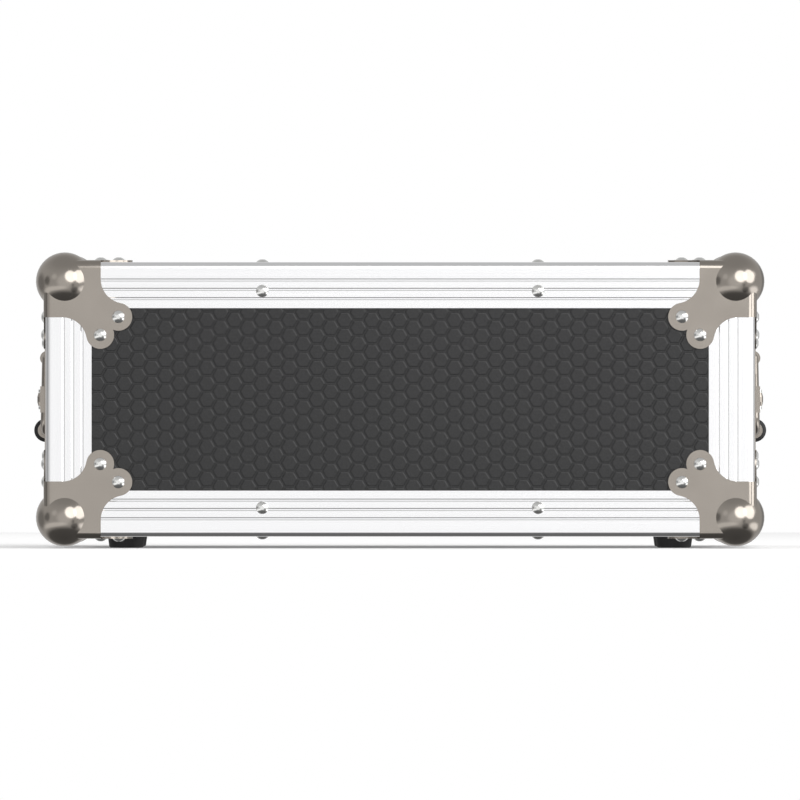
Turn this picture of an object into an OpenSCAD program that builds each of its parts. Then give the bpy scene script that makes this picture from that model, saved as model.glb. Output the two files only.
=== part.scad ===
// Rack case of the flight case kind: a plywood sleeve that is open at both ends and holds
// four rack units, and two lift-off lids. Aluminium extrusions trap the edges of the panels,
// steel ball corners cap the outer corners of the lids, and everything is riveted together.
// Millimetres. X is to the right seen from the front, Y goes in, Z is up. The origin is at
// the middle of the case, at the height that the feet stand on.

/* [Case] */
// Outer width over the extrusions
body_w = 540; // [500:1:640]
// Outer height over the extrusions
body_h = 209; // [205:1:300]
// Depth of the middle sleeve between its two rims
sleeve_d = 350; // [320:1:700]
// Depth of each lid
lid_d = 95; // [94:1:160]
// Gap left between a closed lid and the sleeve
lid_gap = 0.3; // [0.2:0.05:0.8]

/* [Panels and extrusions] */
// Thickness of the laminated plywood panels
ply_t = 9.5; // [9:0.5:10]
// Wall thickness of the extrusions
wall = 1.5; // [1.3:0.1:1.8]
// Width of the outer legs of a corner extrusion
leg_w = 35; // [32:0.5:35.5]
// Length of the inner legs that trap the panels
inner_leg = 15; // [13:0.5:17]
// Outer corner radius of the extrusions
edge_r = 4.5; // [2.5:0.5:5]
// Width of the outer leg of the sleeve's rim
sleeve_rim_leg = 30; // [24:1:36]
// Width of the outer leg of a lid's rim
lid_rim_leg = 22; // [20:1:25]
// Height of the tongue round the sleeve's rim
tongue_h = 5; // [3:0.5:7]
// Thickness of that tongue
tongue_t = 3.5; // [2:0.5:4]
// Clearance on each side of the tongue
tongue_fit = 0.3; // [0.2:0.05:0.5]
// Distance from an edge to its first decorative groove
groove_first = 13.6; // [13:0.1:14]
// Distance from groove to groove
groove_pitch = 7.1; // [5:0.1:7.5]

/* [Ball corners] */
// Radius of the ball
ball_r = 22; // [21.5:0.5:23]
// How far the ball's centre lies inside the outer planes
ball_in = 14.5; // [14:0.5:15]
// Thickness of the steel sheet of ball corners and braces
leaf_t = 1.6; // [1.2:0.1:2]
// How far an arm of a leaf runs along its edge
arm_l = 42; // [38:0.5:44]
// Width of the straight part of an arm
arm_w = 12.9; // [8:0.1:15]
// Radius of the two lobes of a leaf
lobe_r = 10.6; // [9.5:0.1:11.5]
// Smaller distance of a leaf rivet from the outer planes
rivet_near = 41.6; // [41.5:0.1:43]
// Larger distance of a leaf rivet from the outer planes
rivet_far = 55.4; // [53:0.1:56]

/* [Rivets] */
// Radius of a rivet head
rivet_head_r = 4.8; // [4:0.1:5.2]
// Height of a rivet head
rivet_head_h = 2.4; // [1.5:0.1:3]
// Radius of a rivet's shank
rivet_r = 2.4; // [1.6:0.1:2.6]
// Distance of the rivets in the middle of a side from the case's centre line
row_rivet_x = 105; // [60:1:140]
// Distance of those rivets from their edge
row_rivet_in = 22; // [18:0.5:23]

/* [Rack rails] */
// Width of a rail's flange, which leaves 450 mm between the rails
rail_w = 34; // [33.5:0.1:40]
// Distance of the rack holes from the flange's inner edge
rack_hole_in = 7.55; // [7:0.05:8]
// Radius of the tapped rack holes
rack_hole_r = 3; // [2.5:0.1:3.5]
// How far the rails are set back from the sleeve's ends
rail_set = 25; // [22:1:60]
// Sheet thickness of a rail
rail_t = 2; // [1.5:0.1:2.5]
// Depth of a rail's side leg
rail_leg = 30; // [20:1:40]

/* [Latches] */
// Height of the latch dishes over their flanges
latch_h = 102; // [98:1:106]
// Length of the sleeve's half dish
latch_base_l = 66; // [64:1:70]
// Length of the lid's half dish
latch_keeper_l = 40; // [38:1:42]
// Depth of the latch dishes
latch_depth = 9; // [9:0.1:9.5]
// Distance of the latch's turning axis from the sleeve's end
hub_in = 33; // [32:0.5:34]
// Span of the butterfly wing
wing_span = 39.5; // [36:0.5:40]
// How far the hook is drawn in along the case
hook_pull = 6; // [4:0.5:6]
// How far the hook drops while it is drawn in
hook_drop = 3; // [2.5:0.1:3]

/* [Handles] */
// Length of the handle dish over its flange
handle_l = 170; // [164:1:176]
// Height of the handle dish over its flange
handle_h = 118; // [116:1:124]
// Depth of the handle dish
handle_depth = 14; // [13:0.5:20]
// Height of the handle's pivot above the middle of the case
pivot_up = 31.7; // [28:0.1:34]
// Distance from the pivot down to the grip
grip_down = 55.4; // [50:0.1:58]
// Radius of the bail's rod
bail_r = 4; // [3:0.1:4.2]
// Radius of the rubber grip
grip_r = 9; // [7:0.1:10]
// Length of the rubber grip
grip_l = 90; // [60:1:92]

/* [Feet] */
// Height of the feet below the case
foot_drop = 9; // [8:0.5:20]
// Radius of a foot where it meets the case
foot_r = 14.5; // [12:0.5:18]
// Distance of the feet from the case's sides
foot_side_in = 60.5; // [58:0.5:120]
// Distance of the feet from the sleeve's ends
foot_end_in = 45; // [36:1:115]

/* [Hidden] */
$fn = 64;

// How far cuts run past the faces that they open
overrun = 1;
// Gap left at each mitre, between a bar's own length and the depth across it
mitre_gap = 0.1;
// Gap between a panel's edge and the web that stops it
panel_fit = 0.2;
// Clearance round parts that drop into a cut-out
cut_fit = 0.3;

// Depth at which a panel's edge stops in its channel
stop = 2 * wall + ply_t;
// Depth of the panels' inner faces
ply_in = wall + ply_t;
mid_z = foot_drop + body_h / 2;

// Grooves of the extrusions
groove_w = 2.2;
groove_floor_w = 1;
groove_depth = 0.35;
groove_count = 3;
rim_groove_first = 8;

// Extrusion tips under the ball are cut back to just beyond where the ball leaves an edge
tip_spare = 1;
tip_cut = ball_in - sqrt(ball_r * ball_r - 2 * ball_in * ball_in) + tip_spare;

// Tongue and slot of the rims
tongue_at = 3;
slot_depth = tongue_h + tongue_fit;
slot_far = tongue_at + tongue_t + tongue_fit;

// Rivets
bore_fit = 0.05;
rivet_dish_r = 1.6;
rivet_dish_h = 1;
rivet_tail_r = 3.4;
rivet_tail_h = 2;
// Sphere that a head of that radius and height is a cap of
rivet_cap_r = (rivet_head_r * rivet_head_r + rivet_head_h * rivet_head_h) / (2 * rivet_head_h);

// Ball corner leaves
pad_r = 6;
leaf_reach = rivet_far + lobe_r + 2 * overrun;
// Radius of the hollow between arm and lobe, so that it runs smoothly into the lobe
flare_back = rivet_far - arm_l;
flare_drop = rivet_near - arm_w;
flare_r = (flare_back * flare_back + flare_drop * flare_drop - lobe_r * lobe_r)
    / (2 * (lobe_r + flare_back));

// Corner braces at the rims
brace_margin = 1.5;
brace_corner_r = 6;
sleeve_brace_leg = 42;
sleeve_brace_l = 58;
lid_brace_leg = 30;
lid_brace_l = 35.5;
brace_rivet_in = 20;
brace_rivet_first = 14;
sleeve_brace_rivet_second = 46;
lid_brace_rivet_second = 30;

// Latch dishes and the parts in them
dish_t = 1.2;
dish_corner_r = 8;
dish_draft = 3;
// Widths of the flange above and below the pans, and at their closed ends
latch_side_flange_w = 15;
base_flange_w = 8;
keeper_flange_w = 7;
latch_pan_h = latch_h - 2 * latch_side_flange_w;
// Distances of the flange's rivets from its edges
latch_rivet_side_in = 8;
latch_rivet_end_in = 6.5;
latch_rivet_first = 14;
latch_rivet_z = latch_h / 2 - latch_rivet_side_in;
sleeve_latch_rivets_in = [latch_rivet_first, latch_base_l - latch_rivet_end_in];
lid_latch_rivets_in = [latch_rivet_first, latch_keeper_l - latch_rivet_end_in];
latch_floor = latch_depth - dish_t;
lip_start = 13;
lip_t = 3;
lip_half = 14;
lip_foot = 2;

// Rotor of a latch
hub_clear = 0.3;
rotor_pin_r = 2;
rotor_pin_head_r = 3.5;
rotor_pin_head_h = 0.9;
cam_r = 4.5;
cam_off = hook_pull / 2;
rotor_disc_r = 10;
rotor_disc_top = -0.4;
rotor_disc_t = 1.4;
rotor_ear_t = 2.2;
rotor_ear_r = 2.2;
wing_pin_r = 1.3;
wing_axis_out = 4.5;

// Butterfly wing
wing_t = 2;
wing_low = 0.4;
wing_start = 3.4;
wing_notch_r = 8;
wing_notch_at = 26;
wing_barrel_r = 3.1;
wing_barrel_l = 10;
// The barrel gets thinner over this length towards its ends
wing_barrel_taper = 3;
wing_barrel_end_r = 2.3;

// Hook
hook_t = 2.2;
hook_w = 20;
hook_top = 4.8;
hook_eye_r = 14;
hook_nose_t = 2.5;
hook_nose_low = -0.3;
hook_low_top = rotor_disc_top - rotor_disc_t - hub_clear;
hook_low = hook_low_top - hook_t;
hook_slot_fit = 0.9;
hook_slot_end_fit = 0.4;
hook_slot_r = cam_r + hook_slot_fit;
hook_slot_half = cam_r + cam_off + hook_slot_end_fit;
hook_eye_back = hub_in - cam_off;
crank_start = 11;
crank_end = 4;
crank_skew = 1.5;
// At rest the hook is let out: its nose starts this far out, and clears the lip's top
nose_start = lip_start + lip_t + hub_clear + hook_pull;
lip_top = hook_nose_low - hook_drop / 2;

// Handle dishes, bails and grips
handle_flange_w = 15;
handle_rivet_in = 7;
handle_pan_l = handle_l - 2 * handle_flange_w;
handle_pan_h = handle_h - 2 * handle_flange_w;
handle_draft = 4;
handle_rivet_y = handle_l / 2 - handle_rivet_in;
handle_rivet_z = handle_h / 2 - handle_rivet_in;
handle_floor = handle_depth - dish_t;
pivot_out = 0.8;
ear_r = 5.6;
ear_start = 50;
ear_t = 6;
pivot_r = 3.5;
pivot_fit = 0.1;
pivot_start = 36;
bail_half = 60.5;
bail_bend_r = 10;
grip_out = 2;
grip_bore_fit = 0.05;
grip_end_r = 2;
collar_r = 6.2;
collar_l = 3;
collar_gap = 0.3;
bail_reach = sqrt(grip_down * grip_down + (grip_out - pivot_out) * (grip_out - pivot_out));
bail_tilt = atan2(grip_out - pivot_out, grip_down);

// Springs of the handles
spring_turns = 6;
spring_wire_r = 0.7;
spring_mean_r = 4.7;
spring_pitch = 1.9;
spring_rings = 8;
spring_sides = 6;
spring_start = 37.9;

// Rails and their screws
rack_unit = 44.45;
// The sleeve holds as many whole units as its clear height allows
rack_units = floor((body_h - 2 * stop) / rack_unit);
rack_open = body_w - 2 * (ply_in + rail_w);
rack_hole_spacing = rack_open + 2 * rack_hole_in;
// Heights of the three holes of a rack unit above its foot
rack_rows = [6.35, 22.225, 38.1];
rail_end_fit = 0.5;
rail_half = body_h / 2 - stop - rail_end_fit;
rail_leg_half = body_h / 2 - stop - inner_leg - cut_fit;
rail_x = rack_open / 2;
rail_outer_x = body_w / 2 - ply_in;
rail_screw_first = 8.7;
rail_screw_pitch = 20;
rail_screw_z = [for (i = [0, 1]) rail_leg_half - rail_screw_first - i * rail_screw_pitch];
rail_screw_in = 16;
screw_r = 2;
screw_head_r = 4;
screw_head_h = 2.2;
screw_grip = 8;
screw_slot_w = 1;
screw_slot_h = 0.9;

// Feet and their screws
foot_x = body_w / 2 - foot_side_in;
foot_y = sleeve_d / 2 - foot_end_in;
foot_taper = 1.3;
foot_tip_r = foot_r - foot_taper;
foot_edge_r = 1.5;
foot_bore_r = 2.6;
foot_well_r = 6;
foot_well_h = 5;
foot_screw_r = 2.5;
foot_screw_head_r = 5;
foot_screw_head_h = 3;
foot_screw_grip = 8;

aluminium = "#e8e8ea";
steel = "#9a948c";
bright = "#d8d8da";
laminate = "#3d3d3f";
rubber = "#1c1c1e";

// Lists of rivets on each kind of face, each as place along, place across, height of the
// seat above the extrusions' outer plane, and depth of the inner face that the tail grips
function both(list) = [for (e = list, s = [-1, 1]) [s * e[0], e[1], e[2], e[3]]];
function four(list) = [for (e = list, s = [-1, 1], t = [-1, 1]) [s * e[0], t * e[1], e[2], e[3]]];

lid_face_rivets = four([
    [body_w / 2 - rivet_near, body_h / 2 - rivet_far, leaf_t, ply_in],
    [body_w / 2 - rivet_far, body_h / 2 - rivet_near, leaf_t, ply_in],
    [row_rivet_x, body_h / 2 - row_rivet_in, 0, stop]
]);
lid_top_rivets = both([
    [body_w / 2 - rivet_near, lid_d - rivet_far, leaf_t, ply_in],
    [body_w / 2 - rivet_far, lid_d - rivet_near, leaf_t, ply_in],
    [row_rivet_x, lid_d - row_rivet_in, 0, stop],
    [row_rivet_x, brace_rivet_first, 0, stop],
    [body_w / 2 - brace_rivet_in, brace_rivet_first, leaf_t, stop],
    [body_w / 2 - brace_rivet_in, lid_brace_rivet_second, leaf_t, stop]
]);
lid_side_rivets = both([
    [body_h / 2 - rivet_near, lid_d - rivet_far, leaf_t, ply_in],
    [body_h / 2 - rivet_far, lid_d - rivet_near, leaf_t, ply_in],
    [latch_rivet_z, lid_latch_rivets_in[0], dish_t, stop],
    [latch_rivet_z, lid_latch_rivets_in[1], dish_t, ply_in],
    [body_h / 2 - brace_rivet_in, brace_rivet_first, leaf_t, stop],
    [body_h / 2 - brace_rivet_in, lid_brace_rivet_second, leaf_t, stop]
]);
sleeve_end = sleeve_d / 2;
sleeve_top_rivets = four([
    [row_rivet_x, sleeve_end - brace_rivet_first, 0, stop],
    [body_w / 2 - row_rivet_in, sleeve_end / 2, 0, stop],
    [body_w / 2 - brace_rivet_in, sleeve_end - brace_rivet_first, leaf_t, stop],
    [body_w / 2 - brace_rivet_in, sleeve_end - sleeve_brace_rivet_second, leaf_t, stop]
]);
sleeve_side_rivets = four([
    [body_h / 2 - row_rivet_in, sleeve_end / 2, 0, stop],
    [body_h / 2 - brace_rivet_in, sleeve_end - brace_rivet_first, leaf_t, stop],
    [body_h / 2 - brace_rivet_in, sleeve_end - sleeve_brace_rivet_second, leaf_t, stop],
    [latch_rivet_z, sleeve_end - sleeve_latch_rivets_in[0], dish_t, stop],
    [latch_rivet_z, sleeve_end - sleeve_latch_rivets_in[1], dish_t, ply_in],
    [handle_rivet_z, handle_rivet_y, dish_t, ply_in]
]);
handle_mid_rivets = both([[handle_rivet_z, 0, dish_t, ply_in]]);
all_sleeve_side_rivets = concat(sleeve_side_rivets, handle_mid_rivets);

// Solid bars from an outline: its first direction goes to Y and its second to Z
module bar_x(length) {
    rotate([90, 0, 90])
        linear_extrude(length) children();
}
// The same along Y: the first direction goes to X and the second to Z
module bar_y(length) {
    translate([0, length, 0])
        rotate([90, 0, 0])
            linear_extrude(length) children();
}
// Swaps X and Z
module swap_xz() {
    mirror([1, 0, 0])
        rotate([0, -90, 0]) children();
}
module mirrored_x() {
    children();
    mirror([1, 0, 0]) children();
}
module mirrored_z() {
    children();
    mirror([0, 0, 1]) children();
}

// Lids: from here on Y is the distance from the sleeve's end, outwards
module at_lid(end) {
    translate([0, end * (sleeve_d / 2 + lid_gap), mid_z])
        mirror([0, end < 0 ? 1 : 0, 0]) children();
}
module at_sleeve() {
    translate([0, 0, mid_z]) children();
}
// Outer lower left corner of a lid, with X, Y and Z all going inwards
module lid_box() {
    translate([-body_w / 2, lid_d, -body_h / 2])
        mirror([0, 1, 0]) children();
}
module on_lid_face() {
    translate([0, lid_d, 0])
        rotate([-90, 0, 0]) children();
}
module on_top_and_bottom() {
    mirrored_z()
        translate([0, 0, body_h / 2]) children();
}
module on_both_sides() {
    mirrored_x()
        translate([body_w / 2, 0, 0])
            rotate([0, 90, 0]) children();
}

// One blind rivet in a frame whose Z points out of the face
module rivet(seat, inner) {
    translate([0, 0, seat])
        rotate_extrude() {
            difference() {
                intersection() {
                    translate([0, rivet_head_h - rivet_cap_r]) circle(rivet_cap_r);
                    square([rivet_head_r, rivet_head_h]);
                }
                translate([0, rivet_head_h - rivet_dish_h])
                    square([rivet_dish_r, rivet_head_h]);
            }
            translate([0, -seat - inner]) square([rivet_r, seat + inner]);
            translate([0, -seat - inner - rivet_tail_h]) square([rivet_tail_r, rivet_tail_h]);
        }
}
module rivets(list) {
    for (e = list)
        translate([e[0], e[1], 0]) rivet(e[2], e[3]);
}
module bores(list) {
    for (e = list)
        translate([e[0], e[1], -e[3] - overrun])
            cylinder(r = rivet_r + bore_fit, h = e[2] + e[3] + 2 * overrun);
}

// Square whose corner at the origin is rounded
module rounded_corner(size, r) {
    translate([r, 0]) square([size - r, size]);
    translate([0, r]) square([size, size - r]);
    translate([r, r]) circle(r);
}
// Rectangle about the origin with four round corners
module rounded_plate(length, height, r) {
    square([length - 2 * r, height], center = true);
    square([length, height - 2 * r], center = true);
    for (s = [-1, 1], t = [-1, 1])
        translate([s * (length / 2 - r), t * (height / 2 - r)]) circle(r);
}

// Decorative grooves in the face of a leg that lies along X at zero depth
module grooves(first) {
    for (i = [0 : groove_count - 1])
        translate([first + i * groove_pitch, 0])
            polygon([
                [-groove_w / 2, -overrun], [groove_w / 2, -overrun], [groove_w / 2, 0],
                [groove_floor_w / 2, groove_depth], [-groove_floor_w / 2, groove_depth],
                [-groove_w / 2, 0]
            ]);
}

// Corner extrusion: two outer legs, a square tube in the corner and two inner legs
module edge_profile() {
    difference() {
        union() {
            difference() {
                rounded_corner(leg_w, edge_r);
                translate([wall, wall]) square(leg_w);
            }
            difference() {
                rounded_corner(stop, edge_r);
                translate([wall, wall]) rounded_corner(ply_t, edge_r - wall);
            }
            translate([ply_in, ply_in])
                difference() {
                    square(wall + inner_leg);
                    translate([wall, wall]) square(wall + inner_leg);
                }
        }
        grooves(groove_first);
        mirror([1, -1]) grooves(groove_first);
    }
}

// Plan of a bar with a mitre at its start, and one at its end if it meets another bar there
module mitre_plan(length, tip, far_mitred) {
    deep = leg_w + overrun;
    polygon(concat(
        [[tip, tip - mitre_gap], [tip, -overrun]],
        far_mitred
            ? [[length - tip, -overrun], [length - tip, tip - mitre_gap],
               [length - deep - mitre_gap, deep]]
            : [[length, -overrun], [length, deep]],
        [[deep + mitre_gap, deep]]
    ));
}
// Corner extrusion along X whose ends meet two others at a corner
module corner_bar(length, far_mitred = true) {
    intersection() {
        bar_x(length) edge_profile();
        translate([0, 0, -overrun])
            linear_extrude(leg_w + 2 * overrun) mitre_plan(length, tip_cut, far_mitred);
        translate([0, leg_w + overrun, 0])
            rotate([90, 0, 0])
                linear_extrude(leg_w + 2 * overrun) mitre_plan(length, tip_cut, far_mitred);
    }
}

// Rim of the sleeve: the first direction is the distance from the sleeve's end
module sleeve_rim_profile() {
    difference() {
        union() {
            square([sleeve_rim_leg, wall]);
            square([wall, stop]);
            translate([0, ply_in]) square([wall + inner_leg, wall]);
            translate([-tongue_h, tongue_at]) square([tongue_h + wall, tongue_t]);
        }
        grooves(rim_groove_first);
    }
}
// Rim of a lid, with the slot that the tongue enters
module lid_rim_profile() {
    difference() {
        union() {
            square([lid_rim_leg, wall]);
            square([slot_depth + wall, stop]);
            translate([0, ply_in]) square([slot_depth + inner_leg, wall]);
        }
        translate([-overrun, tongue_at - tongue_fit])
            square([overrun + slot_depth, tongue_t + 2 * tongue_fit]);
        translate([wall, slot_far + wall])
            square([slot_depth - wall, ply_in - slot_far - wall]);
    }
}
module rim_bar(length) {
    intersection() {
        bar_x(length) children();
        translate([0, leg_w + overrun, 0])
            rotate([90, 0, 0])
                linear_extrude(2 * leg_w) mitre_plan(length, 0, true);
    }
}
// Four mitred rim bars, with gaps for the latch dishes in the upright ones
module rim_ring() {
    intersection() {
        union() {
            mirrored_z()
                translate([-body_w / 2, 0, -body_h / 2])
                    rim_bar(body_w) children();
            difference() {
                mirrored_x()
                    translate([-body_w / 2, 0, -body_h / 2])
                        swap_xz() rim_bar(body_h) children();
                latch_notch(latch_depth + cut_fit, -leg_w, 2 * leg_w);
            }
        }
        translate([0, leg_w, 0])
            rotate([90, 0, 0])
                linear_extrude(2 * leg_w) rounded_plate(body_w, body_h, edge_r);
    }
}
// Room for a latch dish in both sides, down to a depth, from one distance to another
module latch_notch(depth, from, to) {
    half = latch_pan_h / 2 + dish_t + cut_fit;
    mirrored_x()
        translate([body_w / 2 - depth, from, -half])
            cube([depth + overrun, to - from, 2 * half]);
}

// L plate round an edge, with X and Z going inwards and Y along the edge
module brace(leg, length) {
    intersection() {
        bar_y(length)
            difference() {
                translate([-leaf_t, -leaf_t]) rounded_corner(leg + leaf_t, edge_r + leaf_t);
                rounded_corner(leg + overrun, edge_r);
            }
        union() {
            brace_leg(leg, length);
            swap_xz() brace_leg(leg, length);
        }
    }
}
module brace_leg(leg, length) {
    r = brace_corner_r;
    translate([0, 0, -leaf_t - overrun])
        linear_extrude(leaf_t + overrun + edge_r) {
            translate([-leaf_t - overrun, 0])
                square([leg - r + leaf_t + overrun, length]);
            translate([0, r]) square([leg, length - 2 * r]);
            for (y = [r, length - r])
                translate([leg - r, y]) circle(r);
        }
}
module four_braces(leg, length) {
    mirrored_x()
        mirrored_z()
            translate([-body_w / 2, brace_margin, -body_h / 2]) brace(leg, length);
}

// Outline of one leaf of a ball corner, with the corner at the origin
module leaf_outline() {
    low = -leaf_t - overrun;
    difference() {
        polygon([
            [low, low], [arm_l, low], [arm_l, arm_w], [arm_l + flare_r, arm_w],
            [rivet_far, rivet_near], [rivet_near, rivet_far],
            [arm_w, arm_l + flare_r], [arm_w, arm_l], [low, arm_l]
        ]);
        translate([arm_l + flare_r, arm_w]) circle(flare_r);
        translate([arm_w, arm_l + flare_r]) circle(flare_r);
    }
    translate([rivet_far, rivet_near]) circle(lobe_r);
    translate([rivet_near, rivet_far]) circle(lobe_r);
}
// Turns a shape on the XY face of a corner to its three faces
module on_three_faces() {
    children();
    rotate(120, [1, 1, 1]) children();
    rotate(240, [1, 1, 1]) children();
}
// The corner of the case as a solid, grown outwards, with its edges rounded
module corner_solid(grown, size) {
    intersection() {
        corner_prism(grown, size);
        rotate(120, [1, 1, 1]) corner_prism(grown, size);
        rotate(240, [1, 1, 1]) corner_prism(grown, size);
    }
}
module corner_prism(grown, size) {
    translate([-grown, -grown, -grown])
        linear_extrude(size + grown) rounded_corner(size + grown, edge_r + grown);
}
// Pressed ball corner: three leaves bent round the case and a hollow ball at their corner
module ball_corner() {
    centre = [ball_in, ball_in, ball_in];
    difference() {
        union() {
            difference() {
                union() {
                    difference() {
                        intersection() {
                            corner_solid(leaf_t, leaf_reach);
                            on_three_faces()
                                translate([0, 0, -leaf_t - overrun])
                                    linear_extrude(leaf_t + overrun + edge_r) leaf_outline();
                        }
                        translate([-leaf_t - overrun, -leaf_t - overrun, -leaf_t - overrun])
                            cube(tip_cut + leaf_t + overrun);
                    }
                    translate(centre) sphere(ball_r);
                }
                translate(centre) sphere(ball_r - leaf_t);
                difference() {
                    corner_solid(0, leaf_reach + overrun);
                    cube(tip_cut);
                }
            }
            on_three_faces()
                for (p = [[rivet_far, rivet_near], [rivet_near, rivet_far]])
                    translate([p[0], p[1], -leaf_t / 2])
                        cylinder(r = pad_r, h = wall + leaf_t / 2);
        }
        on_three_faces()
            for (p = [[rivet_far, rivet_near], [rivet_near, rivet_far]])
                translate([p[0], p[1], -leaf_t - overrun])
                    cylinder(r = rivet_r + bore_fit, h = leaf_t + wall + 2 * overrun);
    }
}

// Pieces of a lid
module lid_panel() {
    color(laminate)
        difference() {
            translate([-body_w / 2 + stop + panel_fit, lid_d - ply_in, -body_h / 2 + stop + panel_fit])
                cube([body_w - 2 * (stop + panel_fit), ply_t, body_h - 2 * (stop + panel_fit)]);
            on_lid_face() bores(lid_face_rivets);
        }
}
module lid_walls() {
    start = slot_depth + wall + panel_fit;
    depth = lid_d - stop - panel_fit - start;
    half_w = body_w / 2 - stop - panel_fit;
    half_h = body_h / 2 - stop - panel_fit;
    color(laminate) {
        difference() {
            mirrored_z()
                translate([-half_w, start, body_h / 2 - ply_in])
                    cube([2 * half_w, depth, ply_t]);
            on_top_and_bottom() bores(lid_top_rivets);
        }
        difference() {
            mirrored_x()
                translate([body_w / 2 - ply_in, start, -half_h])
                    cube([ply_t, depth, 2 * half_h]);
            latch_notch(ply_in + overrun, -overrun,
                latch_keeper_l - keeper_flange_w + dish_t + cut_fit);
            on_both_sides() bores(lid_side_rivets);
        }
    }
}
module lid_face_edges() {
    color(aluminium)
        difference() {
            union() {
                mirrored_z() lid_box() corner_bar(body_w);
                mirrored_x() lid_box() rotate(240, [1, 1, 1]) corner_bar(body_h);
            }
            on_lid_face() bores(lid_face_rivets);
            on_top_and_bottom() bores(lid_top_rivets);
        }
}
module lid_side_edges() {
    color(aluminium)
        difference() {
            mirrored_x()
                mirrored_z()
                    lid_box()
                        rotate(120, [1, 1, 1]) corner_bar(lid_d - lid_rim_leg, false);
            on_top_and_bottom() bores(lid_top_rivets);
            on_both_sides() bores(lid_side_rivets);
        }
}
module lid_rim() {
    color(aluminium)
        difference() {
            rim_ring() lid_rim_profile();
            on_top_and_bottom() bores(lid_top_rivets);
            on_both_sides() bores(lid_side_rivets);
        }
}
module lid_corners() {
    color(steel)
        mirrored_x() mirrored_z() lid_box() ball_corner();
}
module lid_braces() {
    color(steel)
        difference() {
            four_braces(lid_brace_leg, lid_brace_l);
            on_top_and_bottom() bores(lid_top_rivets);
            on_both_sides() bores(lid_side_rivets);
        }
}
module lid_keepers() {
    color(steel)
        difference() {
            mirrored_x()
                translate([body_w / 2, 0, 0]) keeper_dish();
            on_both_sides() bores(lid_side_rivets);
        }
}
module lid_rivets() {
    color(bright) {
        on_lid_face() rivets(lid_face_rivets);
        on_top_and_bottom() rivets(lid_top_rivets);
        on_both_sides() rivets(lid_side_rivets);
    }
}

// Half of a latch dish: X points out of the side, Y away from the joint of case and lid
module half_dish(flange_l, flange_w, rim_leg) {
    pan_l = flange_l - flange_w;
    difference() {
        union() {
            bar_x(dish_t) half_flange(flange_l);
            translate([-wall, 0, 0])
                bar_x(wall)
                    intersection() {
                        half_flange(flange_l);
                        translate([rim_leg + cut_fit, -latch_h / 2]) square(latch_h);
                    }
            half_pan(pan_l + dish_t, latch_pan_h / 2 + dish_t, latch_depth, 0, dish_t);
        }
        half_pan(pan_l, latch_pan_h / 2, latch_floor, overrun, dish_t + overrun);
    }
}
module half_flange(length) {
    intersection() {
        rounded_plate(2 * length, latch_h, dish_corner_r);
        translate([0, -latch_h / 2]) square([length, latch_h]);
    }
}
// Space of a pan with sloping sides that is open towards the other half
module half_pan(length, half, depth, before, above) {
    intersection() {
        translate([0, -before, 0])
            bar_y(length + before)
                polygon([
                    [above, half], [0, half], [-depth, half - dish_draft],
                    [-depth, dish_draft - half], [0, -half], [above, -half]
                ]);
        translate([0, 0, -half])
            linear_extrude(2 * half)
                polygon([
                    [above, -before], [above, length], [0, length],
                    [-depth, length - dish_draft], [-depth, -before]
                ]);
    }
}
// Half dish of the lid, with the lip that the hook catches
module keeper_dish() {
    half_dish(latch_keeper_l, keeper_flange_w, lid_rim_leg);
    translate([0, 0, -lip_half])
        linear_extrude(2 * lip_half)
            polygon([
                [-latch_depth + dish_t / 2, lip_start - lip_foot],
                [lip_top, lip_start],
                [lip_top, lip_start + lip_t],
                [-latch_depth + dish_t / 2, lip_start + lip_t]
            ]);
}

// Latches: X points out of the side, Y towards the lid, Z is up
module at_latch(side, end) {
    translate([side * body_w / 2, end * sleeve_d / 2, mid_z])
        mirror([side < 0 ? 1 : 0, 0, 0])
            mirror([0, end < 0 ? 1 : 0, 0]) children();
}
module latch_base() {
    color(steel)
        difference() {
            mirror([0, 1, 0]) half_dish(latch_base_l, base_flange_w, sleeve_rim_leg);
            translate([-latch_depth - overrun, -hub_in, 0])
                rotate([0, 90, 0]) cylinder(r = rotor_pin_r + bore_fit, h = dish_t + 2 * overrun);
            for (s = [-1, 1], y = sleeve_latch_rivets_in)
                translate([-wall - overrun, -y, s * latch_rivet_z])
                    rotate([0, 90, 0])
                        cylinder(r = rivet_r + bore_fit, h = wall + dish_t + 2 * overrun);
        }
}
module latch_rotor() {
    disc_low = rotor_disc_top - rotor_disc_t;
    head_low = -latch_depth - hub_clear - rotor_pin_head_h;
    cam_low = -latch_floor + hub_clear;
    ear_in = wing_barrel_l / 2 + hub_clear;
    color(bright)
        translate([0, -hub_in, 0]) {
            translate([head_low, 0, 0])
                rotate([0, 90, 0]) {
                    cylinder(r = rotor_pin_head_r, h = rotor_pin_head_h);
                    cylinder(r = rotor_pin_r, h = disc_low - head_low);
                }
            translate([cam_low, cam_off, 0])
                rotate([0, 90, 0]) cylinder(r = cam_r, h = disc_low - cam_low);
            translate([disc_low, 0, 0])
                rotate([0, 90, 0]) cylinder(r = rotor_disc_r, h = rotor_disc_t);
            mirrored_z()
                translate([0, 0, ear_in])
                    linear_extrude(rotor_ear_t) {
                        translate([wing_axis_out, 0]) circle(rotor_ear_r);
                        translate([disc_low, -rotor_ear_r])
                            square([wing_axis_out - disc_low, 2 * rotor_ear_r]);
                    }
            translate([wing_axis_out, 0, -ear_in - rotor_ear_t])
                cylinder(r = wing_pin_r, h = 2 * (ear_in + rotor_ear_t));
        }
}
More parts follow.
